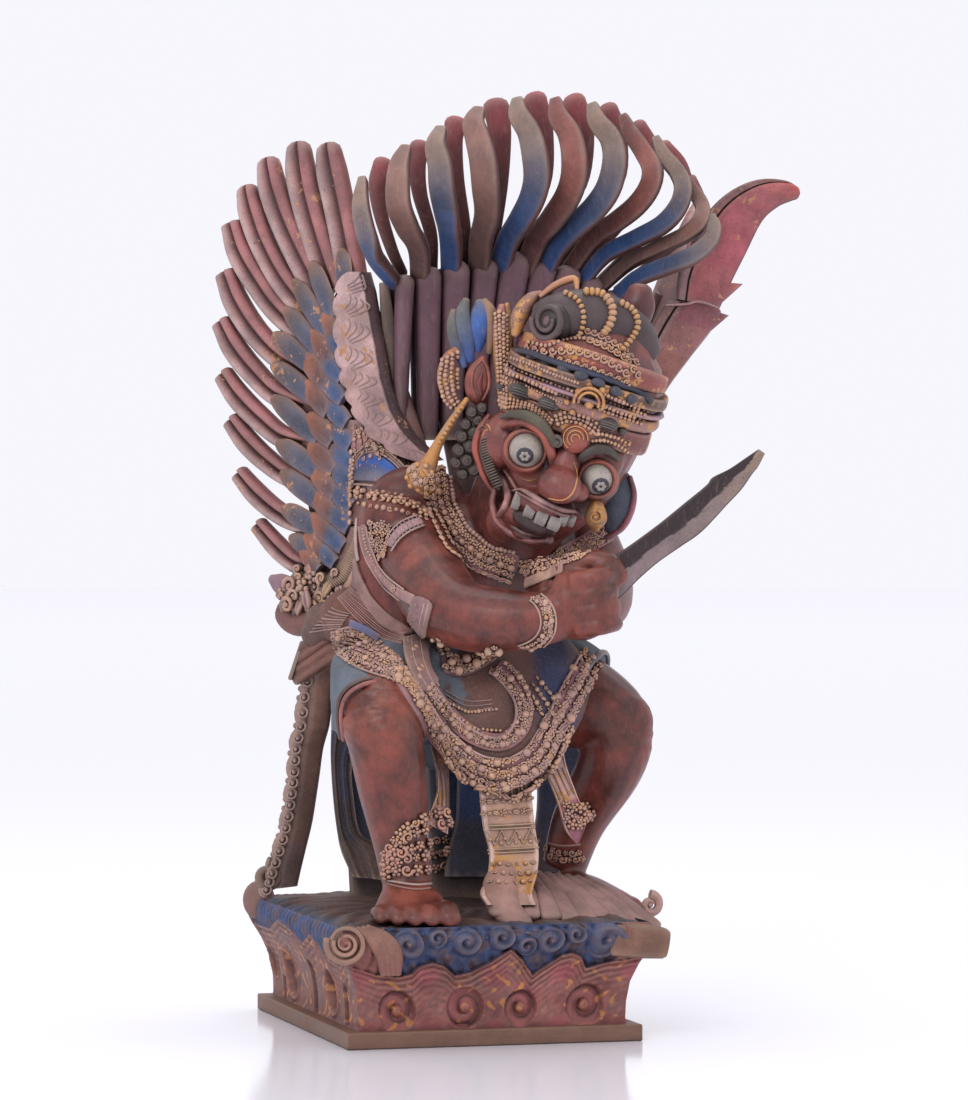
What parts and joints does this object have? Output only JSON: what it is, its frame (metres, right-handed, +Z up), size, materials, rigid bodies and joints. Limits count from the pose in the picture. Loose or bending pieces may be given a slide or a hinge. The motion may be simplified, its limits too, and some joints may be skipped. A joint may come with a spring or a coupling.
{
  "type": "garuda statue",
  "caption": "Painted and gilded wooden statue of a crouching garuda with a sword, spread wings and arched tail plumes on a carved pedestal.",
  "frame": {"origin": "centre of the pedestal's underside", "axes": "+Z up, -Y towards the front that the figure faces, +X towards the viewer's right (the figure's left)"},
  "size_m": [0.4346, 0.4435, 0.7457],
  "materials": {
    "statue_wood": "aged matt paint and rubbed gilding over carved wood",
    "right_wing_wood": "worn red, blue and gilt paint over carved wood",
    "left_wing_wood": "worn pinkish red paint over carved wood",
    "tail_fan_wood": "worn purple brown, blue and red paint over carved wood",
    "sword_wood": "dark stained wood with a rubbed silver-grey edge"
  },
  "bodies": {
    "root": {"figure_and_pedestal": "statue_wood", "right_wing": "right_wing_wood", "left_wing": "left_wing_wood", "tail_fan": "tail_fan_wood", "sword": "sword_wood"}
  },
  "joints": []
}
